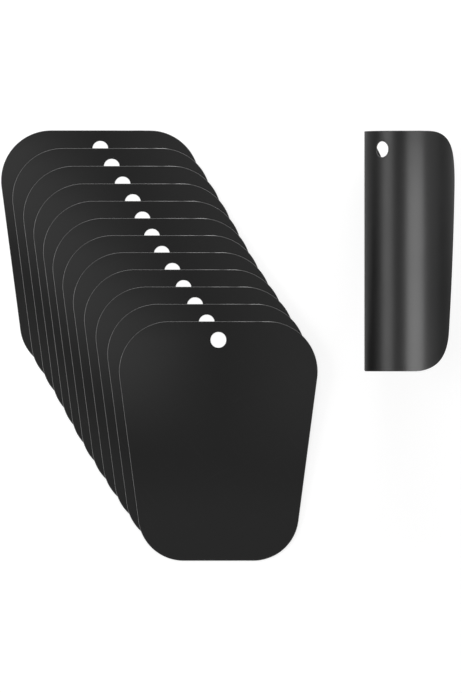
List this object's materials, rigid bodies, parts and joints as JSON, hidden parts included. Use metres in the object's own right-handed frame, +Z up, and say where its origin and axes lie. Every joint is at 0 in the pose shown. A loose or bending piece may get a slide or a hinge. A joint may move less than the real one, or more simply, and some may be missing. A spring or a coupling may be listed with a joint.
{
  "type": "boot shaper set",
  "caption": "Thin black plastic boot shaper sheets with finger holes, fanned out flat beside a sheet curled into the open tube that holds a boot's shaft up.",
  "frame": {"origin": "centre of the whole set's bounding box, at the height of the table it lies on", "axes": "+Z up from the table, +Y towards the sheets' upper edges with the finger holes, +X from the fan towards the curled sheet"},
  "size_m": [0.5772, 0.5486, 0.1273],
  "materials": {
    "black_plastic": "satin"
  },
  "bodies": {
    "flat_sheet_01": {"flat_sheet_01": "black_plastic"},
    "flat_sheet_02": {"flat_sheet_02": "black_plastic"},
    "flat_sheet_03": {"flat_sheet_03": "black_plastic"},
    "flat_sheet_04": {"flat_sheet_04": "black_plastic"},
    "flat_sheet_05": {"flat_sheet_05": "black_plastic"},
    "flat_sheet_06": {"flat_sheet_06": "black_plastic"},
    "flat_sheet_07": {"flat_sheet_07": "black_plastic"},
    "flat_sheet_08": {"flat_sheet_08": "black_plastic"},
    "flat_sheet_09": {"flat_sheet_09": "black_plastic"},
    "flat_sheet_10": {"flat_sheet_10": "black_plastic"},
    "flat_sheet_11": {"flat_sheet_11": "black_plastic"},
    "flat_sheet_12": {"flat_sheet_12": "black_plastic"},
    "rolled_sheet": {"rolled_sheet": "black_plastic"}
  },
  "joints": [
    {"name": "flat_sheet_02_lift", "type": "slide", "parent": "flat_sheet_01", "child": "flat_sheet_02", "axis": [0, 0, 1], "range_m": [0, 0.03]},
    {"name": "flat_sheet_03_lift", "type": "slide", "parent": "flat_sheet_02", "child": "flat_sheet_03", "axis": [0, 0, 1], "range_m": [0, 0.03]},
    {"name": "flat_sheet_04_lift", "type": "slide", "parent": "flat_sheet_03", "child": "flat_sheet_04", "axis": [0, 0, 1], "range_m": [0, 0.03]},
    {"name": "flat_sheet_05_lift", "type": "slide", "parent": "flat_sheet_04", "child": "flat_sheet_05", "axis": [0, 0, 1], "range_m": [0, 0.03]},
    {"name": "flat_sheet_06_lift", "type": "slide", "parent": "flat_sheet_05", "child": "flat_sheet_06", "axis": [0, 0, 1], "range_m": [0, 0.03]},
    {"name": "flat_sheet_07_lift", "type": "slide", "parent": "flat_sheet_06", "child": "flat_sheet_07", "axis": [0, 0, 1], "range_m": [0, 0.03]},
    {"name": "flat_sheet_08_lift", "type": "slide", "parent": "flat_sheet_07", "child": "flat_sheet_08", "axis": [0, 0, 1], "range_m": [0, 0.03]},
    {"name": "flat_sheet_09_lift", "type": "slide", "parent": "flat_sheet_08", "child": "flat_sheet_09", "axis": [0, 0, 1], "range_m": [0, 0.03]},
    {"name": "flat_sheet_10_lift", "type": "slide", "parent": "flat_sheet_09", "child": "flat_sheet_10", "axis": [0, 0, 1], "range_m": [0, 0.03]},
    {"name": "flat_sheet_11_lift", "type": "slide", "parent": "flat_sheet_10", "child": "flat_sheet_11", "axis": [0, 0, 1], "range_m": [0, 0.03]},
    {"name": "flat_sheet_12_lift", "type": "slide", "parent": "flat_sheet_11", "child": "flat_sheet_12", "axis": [0, 0, 1], "range_m": [0, 0.03]},
    {"name": "rolled_sheet_draw", "type": "slide", "parent": "flat_sheet_01", "child": "rolled_sheet", "axis": [0, 1, 0], "range_m": [0, 0.26]}
  ]
}
